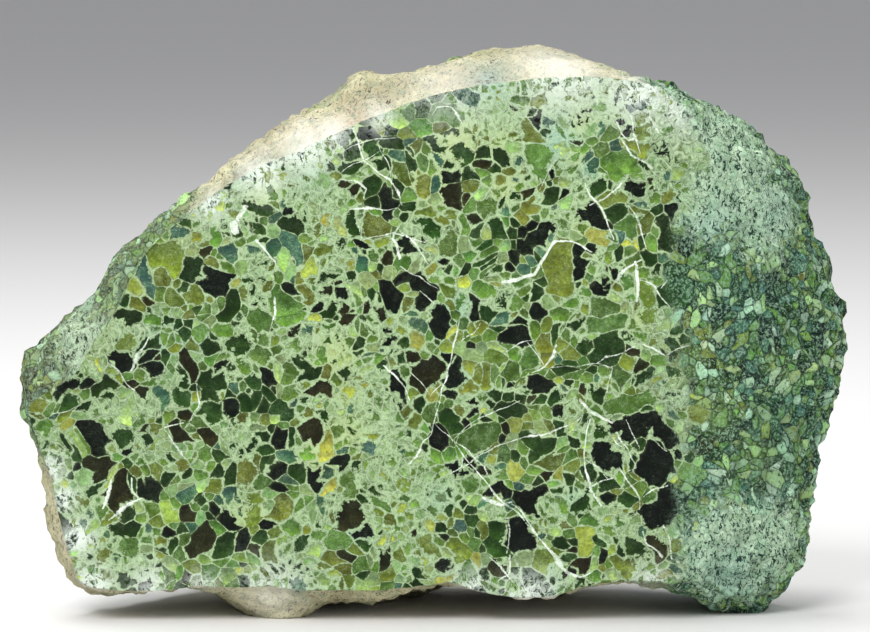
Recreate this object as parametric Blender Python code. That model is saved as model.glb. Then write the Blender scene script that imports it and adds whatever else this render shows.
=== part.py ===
"""A hand specimen of peridotite: a natural cobble with one face sawn flat.

The stone is one piece. It stands on its lower edge with the sawn face towards -Y.
It is made the way the real one was: first the whole cobble, then the saw cut,
then the small flats that it rests on. Lengths in the tables are millimetres.
"""

import math

import bmesh
import bpy
import numpy as np
from mathutils import Matrix

MM = 0.001

# Driving dimensions.
CENTRE_HEIGHT = 36.0  # height of the point that all the outlines are measured round
DEPTH = 45.0  # from the sawn face to the back
BULGE = 7.0  # the stone that the saw took off in front
SIGHT_DROP = math.sin(math.radians(5.0))  # the outline is drawn as seen from 5 degrees above
SIGHT_DISTANCE = 650.0  # and from this far in front of the sawn face
ROUND_SEGMENTS = 120
DEPTH_SEGMENTS = 36
SAWN_AT = math.radians(22.5)  # turn from the front pole at which the saw meets the cobble
WIDEST_AT = math.radians(70.0)  # turn at which the cobble is widest

# Outline of the whole stone seen from the front, clockwise from the left tip: x, height.
STONE_OUTLINE = [
    (-55.6, 34.1), (-54.0, 37.1), (-50.7, 40.5), (-45.7, 44.5), (-43.6, 48.3), (-39.3, 52.0),
    (-35.1, 55.9), (-30.7, 60.1), (-25.3, 64.5), (-20.0, 67.9), (-14.0, 70.3), (-9.7, 73.5),
    (-7.3, 73.2), (-2.0, 75.1), (5.3, 76.4), (12.7, 77.5), (20.7, 75.7), (26.7, 73.6),
    (34.0, 71.5), (40.0, 68.8), (45.3, 64.5), (48.9, 60.1), (50.7, 52.8), (52.7, 46.8),
    (54.3, 40.1), (54.8, 34.1), (54.4, 29.5), (52.4, 24.8), (51.2, 18.8), (51.1, 13.5),
    (50.7, 8.5), (46.7, 3.5), (42.7, 1.2), (35.3, 2.3), (32.0, 3.7), (25.3, 5.1),
    (20.0, 4.4), (15.1, 2.7), (11.3, 2.5), (6.7, 3.6), (1.7, 4.8), (-4.0, 3.6),
    (-7.6, 2.3), (-11.1, 2.5), (-14.7, 2.7), (-17.3, 0.5), (-21.3, 0.0), (-25.3, 0.5),
    (-28.4, 2.0), (-31.6, 3.7), (-36.7, 3.9), (-41.3, 3.1), (-46.0, 3.3), (-48.9, 5.1),
    (-50.7, 8.8), (-52.3, 14.1), (-52.5, 19.5), (-53.6, 23.7), (-55.3, 28.5),
]

# Edge of the sawn face, the same way round. On the right the saw ran out of the stone,
# and the broken surface curves back from there.
SAWN_OUTLINE = [
    (-52.0, 31.2), (-48.0, 33.1), (-46.0, 36.8), (-43.6, 40.1), (-41.7, 43.5), (-38.3, 50.1),
    (-32.0, 55.5), (-24.7, 60.5), (-18.0, 63.2), (-12.0, 66.1), (-5.3, 68.8), (4.7, 71.7),
    (10.0, 72.5), (16.7, 73.1), (23.3, 73.1), (28.7, 72.3), (34.0, 68.8), (36.0, 62.1),
    (35.3, 52.8), (35.3, 43.5), (36.0, 32.8), (35.3, 22.1), (34.0, 11.5), (32.7, 5.5),
    (27.3, 5.7), (22.0, 5.3), (16.7, 3.7), (10.0, 3.5), (2.0, 5.6), (-4.7, 4.8),
    (-12.7, 4.5), (-22.0, 5.1), (-31.3, 5.1), (-40.7, 4.3), (-47.6, 5.1), (-49.2, 10.1),
    (-50.7, 16.1), (-51.6, 20.8), (-53.6, 24.8), (-55.0, 28.8),
]

# How the side curves from the sawn edge to the back, by the angle round the face in degrees
# from +X: the depth at which the stone is widest, how straight the side leaves the sawn edge
# (0 rolls over it, 1 leaves it at a sharp corner) and how square the back shoulder is.
SIDE_ANGLE = [0, 40, 70, 105, 145, 175, 205, 235, 255, 290, 320, 345]
SIDE_WIDEST = [17, 15, 13, 12, 11, 9, 13, 12, 7, 7, 10, 14]
SIDE_STRAIGHT = [0.0, 0.1, 0.5, 0.9, 0.9, 0.8, 0.8, 0.8, 0.6, 0.6, 0.4, 0.1]
SIDE_SQUARE = [2.4, 2.3, 2.3, 2.2, 2.3, 2.5, 2.7, 3.0, 3.6, 3.6, 3.0, 2.6]

# Broken facets of the back: the direction that each faces, and its distance from the middle.
MIDDLE = (0.0, 20.0, CENTRE_HEIGHT)
BACK_FACETS = [
    ((0.28, 0.90, 0.33), 23.0),
    ((-0.30, 0.92, 0.22), 24.0),
    ((0.05, 0.93, -0.36), 23.5),
    ((-0.62, 0.60, 0.50), 34.0),
    ((0.66, 0.68, -0.18), 36.0),
    ((-0.78, 0.58, -0.22), 39.0),
    ((0.36, 0.52, 0.77), 36.5),
    ((-0.20, 0.50, 0.84), 35.0),
]

# Lumps and hollows of the natural skin: x, y, z, radius, and height (negative is a hollow).
SKIN_LUMPS = [
    (-21.0, 6.0, 3.5, 8.0, 1.8),
    (40.0, 14.0, 3.0, 9.0, 3.4),
    (-8.0, 31.0, 4.0, 19.0, 6.0),
    (17.0, 30.0, 4.0, 12.0, 3.6),
    (-9.0, 13.0, 73.0, 7.0, 1.4),
    (12.0, 20.0, 75.0, 12.0, 1.6),
    (-30.0, 16.0, 61.0, 9.0, -1.2),
    (52.0, 22.0, 27.0, 10.0, -1.8),
    (50.0, 26.0, 47.0, 13.0, 1.5),
    (-52.0, 17.0, 14.0, 9.0, 1.5),
    (-46.0, 24.0, 36.0, 12.0, -1.6),
    (-18.0, 43.0, 46.0, 11.0, -1.7),
    (15.0, 43.0, 30.0, 13.0, 1.5),
    (30.0, 38.0, 58.0, 9.0, -1.4),
]

# Coarse roughness of the skin: wavelength, height and seed of each set of waves.
SKIN_WAVES = [(24.0, 0.75, 3), (11.0, 0.40, 5), (6.5, 0.22, 8)]
WAVES_IN_SET = 9
SKIN_STARTS_AT = 0.3  # depth behind the saw cut where lumps and roughness begin
LUMPS_FULL_AT = 4.0
WAVES_FULL_AT = 24.0


def by_angle(degrees_round, values, angle):
    """A value given at a few angles, read smoothly at any angle."""
    spread = np.radians([-8.0, -4.0, 0.0, 4.0, 8.0])
    stations = np.radians(degrees_round)
    return np.mean([np.interp(angle + s, stations, values, period=2 * math.pi) for s in spread], axis=0)


def outline_radius(outline, angle):
    """Distance from the middle of the face to an outline, rounded over its corners."""
    x, z = np.array(outline).T
    round_angle = np.arctan2(z - CENTRE_HEIGHT, x)
    radius = np.hypot(x, z - CENTRE_HEIGHT)
    spread = np.radians([-1.2, -0.6, 0.0, 0.6, 1.2])
    order = np.argsort(round_angle)
    return np.mean(
        [
            np.interp(angle + s, round_angle[order], radius[order], period=2 * math.pi)
            for s in spread
        ],
        axis=0,
    )


def cobble_surface(angle, turn):
    """Points of the plain cobble, for an angle round the face and a turn from front to back."""
    widest = outline_radius(STONE_OUTLINE, angle)
    sawn = np.minimum(outline_radius(SAWN_OUTLINE, angle), 0.985 * widest)
    depth_at_widest = by_angle(SIDE_ANGLE, SIDE_WIDEST, angle)
    straight = by_angle(SIDE_ANGLE, SIDE_STRAIGHT, angle)
    power = 2.0 / by_angle(SIDE_ANGLE, SIDE_SQUARE, angle)

    front = np.clip(turn / SAWN_AT, 0, 1)
    side = np.clip((turn - SAWN_AT) / (WIDEST_AT - SAWN_AT), 0, 1) * math.pi / 2
    back = np.clip((turn - WIDEST_AT) / (math.pi - WIDEST_AT), 0, 1) * math.pi / 2

    radius = sawn * front + (widest - sawn) * np.sin(side)
    radius = radius * np.clip(np.cos(back), 0, 1) ** power
    side_depth = straight * side * 2 / math.pi + (1 - straight) * (1 - np.cos(side))
    depth = depth_at_widest * side_depth - BULGE * (1 - front**2)
    depth = depth + (DEPTH - depth_at_widest) * np.sin(back) ** power

    seen_depth = np.clip(depth, 0, depth_at_widest)
    x = radius * np.cos(angle) * (1 + seen_depth / SIGHT_DISTANCE)
    z = CENTRE_HEIGHT + radius * np.sin(angle) - SIGHT_DROP * seen_depth
    return np.stack([x, depth, z], axis=1)


def broken_back(points):
    """Presses the back onto its flat broken facets."""
    for facing, distance in BACK_FACETS:
        normal = np.array(facing) / np.linalg.norm(facing)
        beyond = (points - MIDDLE) @ normal - distance
        points = points - np.outer(np.clip(beyond, 0, None) * 0.9, normal)
    return points


def fade_in(depth, full_at):
    """0 at the saw cut, rising to 1 at a depth behind it."""
    return np.clip((depth - SKIN_STARTS_AT) / (full_at - SKIN_STARTS_AT), 0, 1)


def skin_relief(points):
    """Height of the lumps and the coarse roughness at each point."""
    lumps = np.zeros(len(points))
    roughness = np.zeros(len(points))
    for x, y, z, radius, amount in SKIN_LUMPS:
        away = ((points - (x, y, z)) ** 2).sum(axis=1)
        lumps += amount * np.exp(-away / (0.5 * radius) ** 2 / 2)
    for wavelength, amount, seed in SKIN_WAVES:
        random = np.random.default_rng(seed)
        facing = random.normal(size=(WAVES_IN_SET, 3))
        facing *= 2 * math.pi / wavelength / np.linalg.norm(facing, axis=1)[:, None]
        start = random.uniform(0, 2 * math.pi, WAVES_IN_SET)
        waves = np.sin(points @ facing.T + start).sum(axis=1) / math.sqrt(WAVES_IN_SET)
        roughness += amount * waves
    depth = points[:, 1]
    return lumps * fade_in(depth, LUMPS_FULL_AT) + roughness * fade_in(depth, WAVES_FULL_AT)


def natural_stone(angle, turn):
    """Points of the weathered cobble: the plain form, its broken back and its skin."""
    points = broken_back(cobble_surface(angle, turn))
    outward = points - MIDDLE
    outward /= np.linalg.norm(outward, axis=1)[:, None]
    return points + outward * skin_relief(points)[:, None]


def peridotite_material():
    """Green olivine rock; the finish of each zone is added where the stone is dressed."""
    material = bpy.data.materials.new("peridotite")
    material.use_nodes = True
    shader = material.node_tree.nodes["Principled BSDF"]
    shader.inputs["Base Color"].default_value = (0.16, 0.26, 0.12, 1)
    shader.inputs["Roughness"].default_value = 0.55
    shader.inputs["Metallic"].default_value = 0.0
    return material


def make_cobble(collection):
    """A round primitive whose points are moved onto the natural stone."""
    shape = bmesh.new()
    facing_front = Matrix.Rotation(math.radians(90), 3, "X")
    bmesh.ops.create_uvsphere(shape, u_segments=ROUND_SEGMENTS, v_segments=DEPTH_SEGMENTS, radius=1)
    bmesh.ops.rotate(shape, verts=shape.verts, matrix=facing_front)
    ball = np.array([vertex.co for vertex in shape.verts])
    angle = np.arctan2(ball[:, 2], ball[:, 0])
    turn = np.arccos(np.clip(-ball[:, 1], -1, 1))
    for vertex, place in zip(shape.verts, natural_stone(angle, turn) * MM):
        vertex.co = place
    bmesh.ops.triangulate(shape, faces=shape.faces)
    bmesh.ops.recalc_face_normals(shape, faces=shape.faces)
    mesh = bpy.data.meshes.new("peridotite")
    shape.to_mesh(mesh)
    shape.free()
    stone = bpy.data.objects.new("peridotite", mesh)
    stone.data.materials.append(peridotite_material())
    collection.objects.link(stone)
    return stone


def make_block(name, low, high, collection):
    """A cutting block from its low and high corners, in millimetres."""
    bpy.ops.mesh.primitive_cube_add(size=1)
    block = bpy.context.active_object
    block.name = name
    low, high = np.array(low) * MM, np.array(high) * MM
    block.data.transform(Matrix.Translation((low + high) / 2) @ Matrix.Diagonal((*(high - low), 1)))
    block.hide_render = True
    block.display_type = "WIRE"
    for holder in list(block.users_collection):
        holder.objects.unlink(block)
    collection.objects.link(block)
    return block


def cut_with(stone, block):
    cut = stone.modifiers.new(block.name, "BOOLEAN")
    cut.operation = "DIFFERENCE"
    cut.object = block


def centre_over_origin(objects, stone):
    """Moves the stone and its cutters together so that its cut form stands centred on the origin."""
    graph = bpy.context.evaluated_depsgraph_get()
    corners = np.array([corner for corner in stone.evaluated_get(graph).bound_box])
    middle = (corners.min(axis=0) + corners.max(axis=0)) / 2
    for moved in objects:
        moved.data.transform(Matrix.Translation((-middle[0], -middle[1], 0)))


def main():
    for old in list(bpy.data.objects):
        bpy.data.objects.remove(old)
    model = bpy.data.collections.new("peridotite")
    cutters = bpy.data.collections.new("cutters")
    bpy.context.scene.collection.children.link(model)
    bpy.context.scene.collection.children.link(cutters)

    stone = make_cobble(model)
    saw = make_block("saw_cut", (-80, -30, -20), (80, 0, 100), cutters)
    ground = make_block("resting_flats", (-80, -40, -20), (80, 80, 0), cutters)
    cut_with(stone, saw)
    cut_with(stone, ground)
    bpy.context.view_layer.update()
    centre_over_origin([stone, saw, ground], stone)


main()
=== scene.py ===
# %% [markdown]
# # A hand specimen of peridotite
# Peridotite is rock from below the Earth's crust. It is mostly olivine, which is green glass-like
# grains of 1 to 6 mm. Water has turned some of it along cracks into serpentine, which shows as
# a net of pale veins. One face of this cobble was sawn flat, so the grains show as a mosaic.
# The rest keeps its natural skin: a cream rind on the left and top, and broken rock on the right.
#
# The stone is one closed mesh. The pattern is worked out as the rock has it, grain by grain in
# space, so it runs on from the sawn face over the edge. Lengths in the tables are millimetres.
# Places on the face are written as on a drawing of it at 7.5 units to the millimetre.

# %% Set-up
import math

import bpy
import numpy as np
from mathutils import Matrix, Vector


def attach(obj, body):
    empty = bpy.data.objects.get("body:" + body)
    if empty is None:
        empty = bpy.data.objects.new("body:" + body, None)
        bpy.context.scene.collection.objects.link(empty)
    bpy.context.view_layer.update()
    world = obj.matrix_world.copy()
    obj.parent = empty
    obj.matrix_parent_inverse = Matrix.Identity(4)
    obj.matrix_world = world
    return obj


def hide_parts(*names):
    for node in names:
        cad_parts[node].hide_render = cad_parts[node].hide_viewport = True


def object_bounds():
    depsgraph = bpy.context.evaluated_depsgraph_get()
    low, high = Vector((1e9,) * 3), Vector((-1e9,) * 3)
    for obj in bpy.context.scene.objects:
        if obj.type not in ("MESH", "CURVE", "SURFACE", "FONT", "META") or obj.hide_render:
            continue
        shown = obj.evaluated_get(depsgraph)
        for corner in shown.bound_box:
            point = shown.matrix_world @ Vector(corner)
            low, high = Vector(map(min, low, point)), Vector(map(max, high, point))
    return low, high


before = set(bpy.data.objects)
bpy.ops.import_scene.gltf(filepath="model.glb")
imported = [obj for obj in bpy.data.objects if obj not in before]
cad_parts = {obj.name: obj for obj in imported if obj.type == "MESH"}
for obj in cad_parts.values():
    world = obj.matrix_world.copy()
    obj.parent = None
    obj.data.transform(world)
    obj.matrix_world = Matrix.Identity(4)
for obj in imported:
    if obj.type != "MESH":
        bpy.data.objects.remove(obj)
cad_low, cad_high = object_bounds()
MM = 0.001
DRAWING_UNITS_PER_MM = 7.5
DRAWING_ORIGIN = (435.0, 626.0)  # the drawing's place of x 0 on the ground
print("stone from", [round(v, 4) for v in cad_low], "to", [round(v, 4) for v in cad_high])

# %% [markdown]
# ## The form of the cobble
# The same form as the solid's, from the same tables: the outline, the sawn edge, and how the
# side curves back. It is written as a formula, so that the fine mesh can follow it exactly.

# %% Outlines and profiles
CENTRE_HEIGHT = 36.0
DEPTH = 45.0
SIGHT_DROP = math.sin(math.radians(5.0))
SIGHT_DISTANCE = 650.0
STONE_OUTLINE = [
    (-55.6, 34.1), (-54.0, 37.1), (-50.7, 40.5), (-45.7, 44.5), (-43.6, 48.3), (-39.3, 52.0),
    (-35.1, 55.9), (-30.7, 60.1), (-25.3, 64.5), (-20.0, 67.9), (-14.0, 70.3), (-9.7, 73.5),
    (-7.3, 73.2), (-2.0, 75.1), (5.3, 76.4), (12.7, 77.5), (20.7, 75.7), (26.7, 73.6),
    (34.0, 71.5), (40.0, 68.8), (45.3, 64.5), (48.9, 60.1), (50.7, 52.8), (52.7, 46.8),
    (54.3, 40.1), (54.8, 34.1), (54.4, 29.5), (52.4, 24.8), (51.2, 18.8), (51.1, 13.5),
    (50.7, 8.5), (46.7, 3.5), (42.7, 1.2), (35.3, 2.3), (32.0, 3.7), (25.3, 5.1),
    (20.0, 4.4), (15.1, 2.7), (11.3, 2.5), (6.7, 3.6), (1.7, 4.8), (-4.0, 3.6),
    (-7.6, 2.3), (-11.1, 2.5), (-14.7, 2.7), (-17.3, 0.5), (-21.3, 0.0), (-25.3, 0.5),
    (-28.4, 2.0), (-31.6, 3.7), (-36.7, 3.9), (-41.3, 3.1), (-46.0, 3.3), (-48.9, 5.1),
    (-50.7, 8.8), (-52.3, 14.1), (-52.5, 19.5), (-53.6, 23.7), (-55.3, 28.5),
]
SAWN_OUTLINE = [
    (-52.0, 31.2), (-48.0, 33.1), (-46.0, 36.8), (-43.6, 40.1), (-41.7, 43.5), (-38.3, 50.1),
    (-32.0, 55.5), (-24.7, 60.5), (-18.0, 63.2), (-12.0, 66.1), (-5.3, 68.8), (4.7, 71.7),
    (10.0, 72.5), (16.7, 73.1), (23.3, 73.1), (28.7, 72.3), (34.0, 68.8), (36.0, 62.1),
    (35.3, 52.8), (35.3, 43.5), (36.0, 32.8), (35.3, 22.1), (34.0, 11.5), (32.7, 5.5),
    (27.3, 5.7), (22.0, 5.3), (16.7, 3.7), (10.0, 3.5), (2.0, 5.6), (-4.7, 4.8),
    (-12.7, 4.5), (-22.0, 5.1), (-31.3, 5.1), (-40.7, 4.3), (-47.6, 5.1), (-49.2, 10.1),
    (-50.7, 16.1), (-51.6, 20.8), (-53.6, 24.8), (-55.0, 28.8),
]
SIDE_ANGLE = [0, 40, 70, 105, 145, 175, 205, 235, 255, 290, 320, 345]
SIDE_WIDEST = [17, 15, 13, 12, 11, 9, 13, 12, 7, 7, 10, 14]
SIDE_STRAIGHT = [0.0, 0.1, 0.5, 0.9, 0.9, 0.8, 0.8, 0.8, 0.6, 0.6, 0.4, 0.1]
SIDE_SQUARE = [2.4, 2.3, 2.3, 2.2, 2.3, 2.5, 2.7, 3.0, 3.6, 3.6, 3.0, 2.6]
MIDDLE = (0.0, 20.0, CENTRE_HEIGHT)
BACK_FACETS = [
    ((0.28, 0.90, 0.33), 23.0), ((-0.30, 0.92, 0.22), 24.0), ((0.05, 0.93, -0.36), 23.5),
    ((-0.62, 0.60, 0.50), 34.0), ((0.66, 0.68, -0.18), 36.0), ((-0.78, 0.58, -0.22), 39.0),
    ((0.36, 0.52, 0.77), 36.5), ((-0.20, 0.50, 0.84), 35.0),
]
SKIN_LUMPS = [
    (-21.0, 6.0, 3.5, 8.0, 1.8), (40.0, 14.0, 3.0, 9.0, 3.4), (-8.0, 31.0, 4.0, 19.0, 6.0),
    (17.0, 30.0, 4.0, 12.0, 3.6), (-9.0, 13.0, 73.0, 7.0, 1.4), (12.0, 20.0, 75.0, 12.0, 1.6),
    (-30.0, 16.0, 61.0, 9.0, -1.2), (52.0, 22.0, 27.0, 10.0, -1.8), (50.0, 26.0, 47.0, 13.0, 1.5),
    (-52.0, 17.0, 14.0, 9.0, 1.5), (-46.0, 24.0, 36.0, 12.0, -1.6), (-18.0, 43.0, 46.0, 11.0, -1.7),
    (15.0, 43.0, 30.0, 13.0, 1.5), (30.0, 38.0, 58.0, 9.0, -1.4),
]
SKIN_WAVES = [(24.0, 0.75, 3), (11.0, 0.40, 5), (6.5, 0.22, 8)]
WAVES_IN_SET = 9
SKIN_STARTS_AT = 0.3
LUMPS_FULL_AT = 4.0
WAVES_FULL_AT = 24.0


def by_angle(degrees_round, values, angle):
    """A value given at a few angles, read at any angle and averaged over 16 degrees."""
    spread = np.radians([-8.0, -4.0, 0.0, 4.0, 8.0])
    stations = np.radians(degrees_round)
    return np.mean([np.interp(angle + s, stations, values, period=2 * math.pi) for s in spread], axis=0)


def outline_radius(outline, angle):
    """Distance from the middle of the face to an outline, averaged over 2.4 degrees."""
    x, z = np.array(outline).T
    round_angle = np.arctan2(z - CENTRE_HEIGHT, x)
    radius = np.hypot(x, z - CENTRE_HEIGHT)
    spread = np.radians([-1.2, -0.6, 0.0, 0.6, 1.2])
    order = np.argsort(round_angle)
    round_angle, radius = round_angle[order], radius[order]
    return np.mean(
        [np.interp(angle + s, round_angle, radius, period=2 * math.pi) for s in spread], axis=0
    )


def edge_radii(angle):
    """Radius of the sawn edge and of the whole stone at an angle round the face."""
    widest = outline_radius(STONE_OUTLINE, angle)
    return np.minimum(outline_radius(SAWN_OUTLINE, angle), 0.985 * widest), widest


def waves(points, wavelength, seed, count=WAVES_IN_SET):
    """Sum of plane waves of one wavelength in random directions; about -1.5 to 1.5."""
    random = np.random.default_rng(seed)
    facing = random.normal(size=(count, 3))
    facing *= 2 * math.pi / wavelength / np.linalg.norm(facing, axis=1)[:, None]
    start = random.uniform(0, 2 * math.pi, count)
    return np.sin(points @ facing.T + start).sum(axis=1) / math.sqrt(count)


def plain_stone(angle, reach, side, back):
    """Points of the cobble. Up to the sawn edge reach is the distance from the middle of the flat
    face; side 0 to 90 degrees curves from that edge to the widest outline, and back 0 to 90
    degrees from there to the middle of the back, as a superellipse."""
    depth_at_widest = by_angle(SIDE_ANGLE, SIDE_WIDEST, angle)
    straight = by_angle(SIDE_ANGLE, SIDE_STRAIGHT, angle)
    power = 2.0 / by_angle(SIDE_ANGLE, SIDE_SQUARE, angle)
    radius = reach * np.clip(np.cos(back), 0, 1) ** power
    depth = straight * side * 2 / math.pi + (1 - straight) * (1 - np.cos(side))
    depth = depth_at_widest * depth + (DEPTH - depth_at_widest) * np.sin(back) ** power
    seen_depth = np.clip(depth, 0, depth_at_widest)
    x = radius * np.cos(angle) * (1 + seen_depth / SIGHT_DISTANCE)
    z = CENTRE_HEIGHT + radius * np.sin(angle) - SIGHT_DROP * seen_depth
    return np.stack([x, depth, z], axis=1)


def weathered_stone(points):
    """The plain form pressed onto its broken facets, then raised by its lumps and waves.
    Also gives how far each point was pressed, which is where the rock broke."""
    pressed = np.zeros(len(points))
    for facing, distance in BACK_FACETS:
        normal = np.array(facing) / np.linalg.norm(facing)
        beyond = np.clip((points - MIDDLE) @ normal - distance, 0, None)
        points = points - np.outer(beyond * 0.9, normal)
        pressed += beyond
    lumps = np.zeros(len(points))
    for x, y, z, radius, amount in SKIN_LUMPS:
        away = ((points - (x, y, z)) ** 2).sum(axis=1)
        lumps += amount * np.exp(-away / (0.5 * radius) ** 2 / 2)
    roughness = sum(amount * waves(points, length, seed) for length, amount, seed in SKIN_WAVES)
    depth = points[:, 1]
    lumps *= np.clip((depth - SKIN_STARTS_AT) / (LUMPS_FULL_AT - SKIN_STARTS_AT), 0, 1)
    roughness *= np.clip((depth - SKIN_STARTS_AT) / (WAVES_FULL_AT - SKIN_STARTS_AT), 0, 1)
    outward = points - MIDDLE
    outward /= np.linalg.norm(outward, axis=1)[:, None]
    return points + outward * (lumps + roughness)[:, None], pressed


# %% [markdown]
# ## The mesh
# A sheet of even squares covers what is seen from the front: the sawn face, and on the right the
# broken side as far as it is in view. Rings go on from the sheet's edge over the side to the back,
# with half as many points where the surface is out of sight. Even squares keep the grains sharp
# all over the face, which rings round one middle point would not.

# %% The sheet and the rings
COLUMNS = 280
ROWS = 196
CORNER_ANGLE = math.radians(36.0)
SHEET_GOES_OVER = 0.9  # how far over the right side the sheet goes, as a share of the way
RINGS = [(1, 14, 0.0, 0.5), (2, 12, 0.5, 1.0), (2, 26, 1.0, 1.45), (4, 26, 1.45, 1.985)]


def sheet_edge(angle):
    """Reach and side of the sheet's edge: the sawn edge, but on the right over the broken side."""
    sawn, widest = edge_radii(angle)
    right = np.clip((math.radians(68) - np.abs(np.arctan2(np.sin(angle), np.cos(angle)))) / 0.5, 0, 1)
    rise = SHEET_GOES_OVER * right * right * (3 - 2 * right)
    return sawn + (widest - sawn) * rise, np.arcsin(rise)


def even_steps(low, high, count):
    """Angles from low to high that are evenly spaced along the sheet's edge."""
    fine = np.linspace(low, high, 2000)
    reach, _ = sheet_edge(fine)
    line = np.stack([reach * np.cos(fine), reach * np.sin(fine)], axis=1)
    length = np.concatenate([[0], np.cumsum(np.linalg.norm(np.diff(line, axis=0), axis=1))])
    return np.interp(np.linspace(0, length[-1], count + 1), length, fine)


def sheet_grid():
    """A grid of COLUMNS by ROWS squares that fills the sheet's edge. Each point is the sum of what
    its row and its column say, less what the four corners say, as in a Coons patch."""
    c = CORNER_ANGLE
    bottom = even_steps(math.pi + c, 2 * math.pi - c, COLUMNS)
    top = even_steps(math.pi - c, c, COLUMNS)
    left = even_steps(math.pi + c, math.pi - c, ROWS)
    right = even_steps(-c, c, ROWS)

    def on_edge(angle):
        reach, _ = sheet_edge(angle)
        return np.stack([reach * np.cos(angle), reach * np.sin(angle)], axis=-1)

    b, t, l, r = on_edge(bottom), on_edge(top), on_edge(left), on_edge(right)
    u = np.linspace(0, 1, COLUMNS + 1)[None, :, None]
    v = np.linspace(0, 1, ROWS + 1)[:, None, None]
    grid = (1 - v) * b[None] + v * t[None] + (1 - u) * l[:, None] + u * r[:, None]
    corners = (1 - u) * (1 - v) * b[0] + u * (1 - v) * b[-1] + (1 - u) * v * t[0] + u * v * t[-1]
    return (grid - corners).reshape(-1, 2)


def sheet_points():
    """The grid laid on the stone: flat inside the sawn edge, curving back beyond it."""
    across, up = sheet_grid().T
    angle = np.arctan2(up, across)
    reach = np.hypot(across, up)
    sawn, widest = edge_radii(angle)
    side = np.arcsin(np.clip((reach - sawn) / (widest - sawn), 0, 1))
    return plain_stone(angle, reach, side, np.zeros_like(angle)), np.clip(reach - sawn, 0, None)


def edge_loop():
    """Numbers of the sheet's edge points, anticlockwise from the lower left corner."""
    index = np.arange((ROWS + 1) * (COLUMNS + 1)).reshape(ROWS + 1, COLUMNS + 1)
    return np.concatenate([index[0, :-1], index[:-1, -1], index[-1, :0:-1], index[:0:-1, 0]])


def ring_points(angle, along):
    """One ring at a share of the way: 0 is the sheet's edge, 1 the widest outline, 2 the back."""
    _, side_at_edge = sheet_edge(angle)
    side = side_at_edge + (math.pi / 2 - side_at_edge) * min(along, 1.0)
    sawn, widest = edge_radii(angle)
    back = np.full_like(angle, max(along - 1.0, 0.0) * math.pi / 2)
    return plain_stone(angle, sawn + (widest - sawn) * np.sin(side), side, back)


def strips(near, far):
    """Triangles between two closed rings; the far one may have half as many points."""
    near_next, far_next = np.roll(near, -1), np.roll(far, -1)
    if len(near) == len(far):
        return [np.stack([near, far, near_next], 1), np.stack([near_next, far, far_next], 1)]
    even, odd, after = near[0::2], near[1::2], near_next[1::2]
    return [np.stack([even, far, odd], 1), np.stack([odd, far, far_next], 1), np.stack([odd, far_next, after], 1)]


def build_form():
    """All points and triangles of the stone before its fine relief."""
    sheet, over = sheet_points()
    index = np.arange((ROWS + 1) * (COLUMNS + 1)).reshape(ROWS + 1, COLUMNS + 1)
    a, b, c, d = index[:-1, :-1], index[:-1, 1:], index[1:, 1:], index[1:, :-1]
    lean = (np.add.outer(np.arange(ROWS), np.arange(COLUMNS)) % 2).astype(bool)[..., None]
    first = np.where(lean, np.stack([a, b, c], -1), np.stack([a, b, d], -1)).reshape(-1, 3)
    second = np.where(lean, np.stack([a, c, d], -1), np.stack([b, c, d], -1)).reshape(-1, 3)
    triangles = [first, second]
    points = [sheet]
    loop = edge_loop()
    edge = sheet_grid()[loop]
    angle = np.arctan2(edge[:, 1], edge[:, 0])
    count = len(sheet)
    last_step = 1
    for step, rings, start, end in RINGS:
        for along in np.linspace(start, end, rings + 1)[1:]:
            if step != last_step:
                angle = angle[::2]
                last_step = step
            ring = ring_points(angle, along)
            numbers = count + np.arange(len(ring))
            points.append(ring)
            triangles += strips(loop, numbers)
            loop = numbers
            count += len(ring)
    pole = plain_stone(np.zeros(1), edge_radii(np.zeros(1))[1], np.full(1, math.pi / 2), np.full(1, math.pi / 2))
    points.append(pole)
    triangles.append(np.stack([loop, np.full(len(loop), count), np.roll(loop, -1)], 1))
    return np.concatenate(points), np.concatenate(triangles)


def point_normals(points, triangles):
    """Outward direction at each point, from the triangles round it by area."""
    p, q, r = (points[triangles[:, i]] for i in range(3))
    normal = np.cross(q - p, r - p)
    total = np.stack(
        [
            sum(np.bincount(triangles[:, i], normal[:, axis], len(points)) for i in range(3))
            for axis in range(3)
        ],
        axis=1,
    )
    return total / np.maximum(np.linalg.norm(total, axis=1), 1e-9)[:, None]


plain, triangles = build_form()
form, pressed = weathered_stone(plain)
form[:, 2] = np.maximum(form[:, 2], 0.0)
p, q, r = (form[triangles[:, i]] for i in range(3))
volume = np.einsum("ij,ij->i", p, np.cross(q, r)).sum() / 6
if volume < 0:
    triangles = triangles[:, ::-1]
print(len(form), "points,", len(triangles), "triangles,", round(abs(volume) / 1000, 1), "cm3")

# %% [markdown]
# ## Which part of the surface is what
# The sawn face is fresh rock. The right side broke along its grains. The rest is skin that
# weathered to a cream rind. Soft round patches say where there is more of something, as when
# a painter blocks in a stone before its details.

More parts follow.
